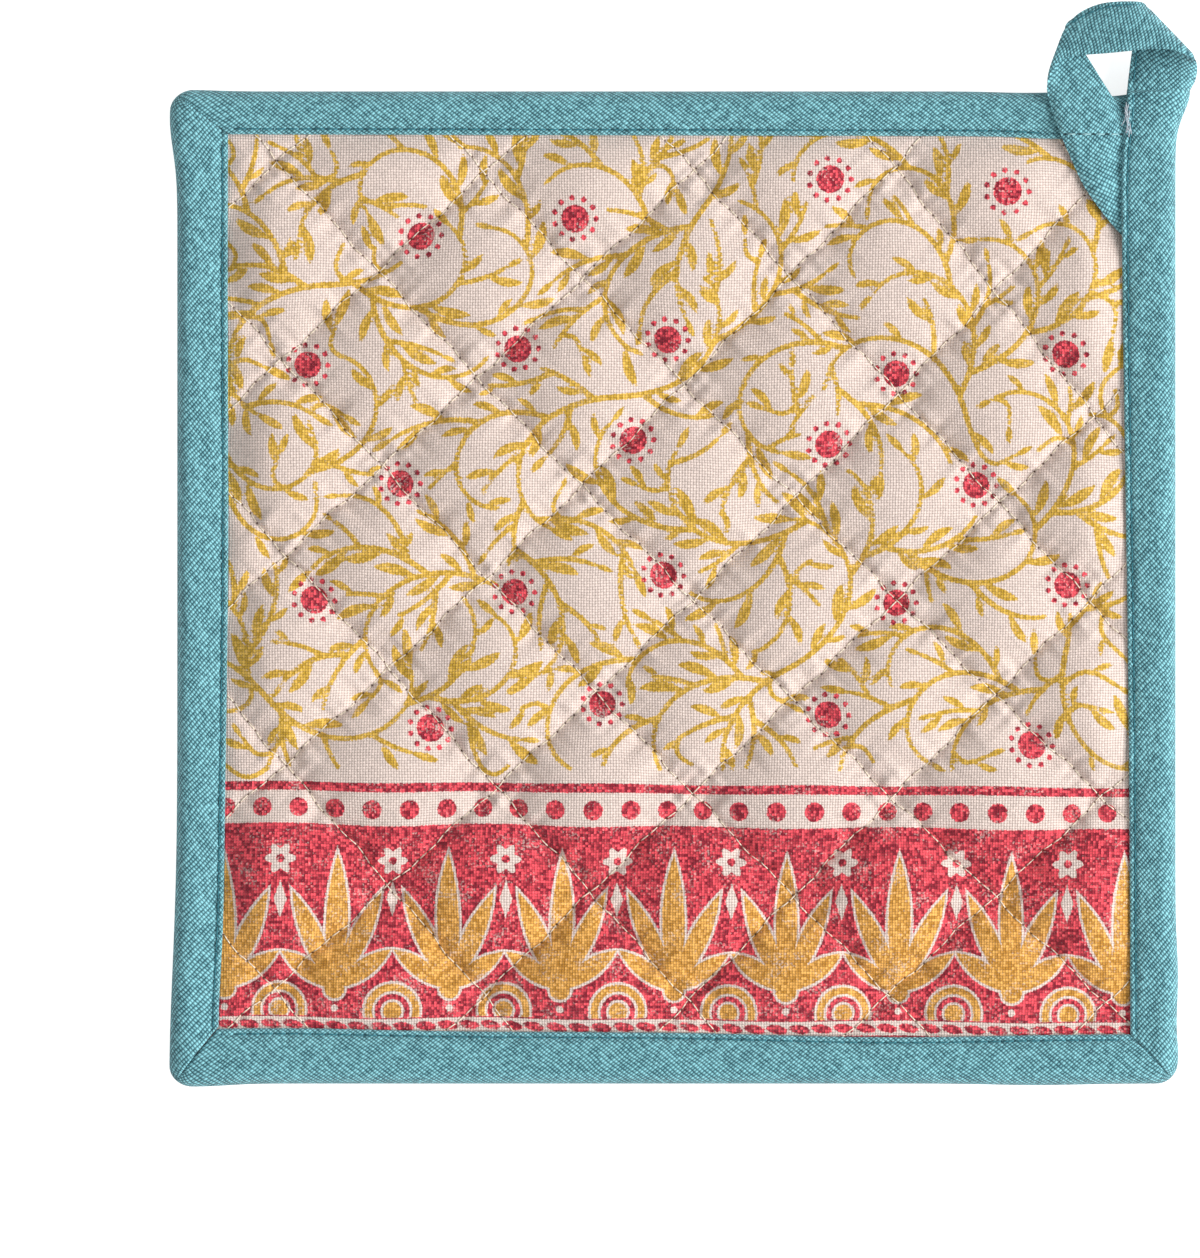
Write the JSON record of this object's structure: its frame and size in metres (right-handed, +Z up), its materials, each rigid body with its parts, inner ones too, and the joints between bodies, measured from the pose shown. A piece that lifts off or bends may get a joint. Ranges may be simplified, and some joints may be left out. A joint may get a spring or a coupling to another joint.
{
  "type": "quilted pot holder",
  "caption": "Square quilted pot holder with a diamond-stitched padded face, a folded bias binding and a hanging loop at one corner.",
  "frame": {"origin": "on the surface it lies on, under the middle of the whole box, loop included", "axes": "+Z up out of the printed face, +Y towards the side with the hanging loop, +X to the right when the printed face is seen with the loop at the top"},
  "size_m": [0.2056, 0.2172, 0.0135],
  "materials": {
    "printed_cotton": "plain-woven cream cotton, printed in mustard and red, matt",
    "bias_cotton": "blue-green cotton canvas cut on the bias, matt"
  },
  "bodies": {
    "root": {"quilted_panel": "printed_cotton", "binding": "bias_cotton", "hanging_loop": "bias_cotton"}
  },
  "joints": []
}
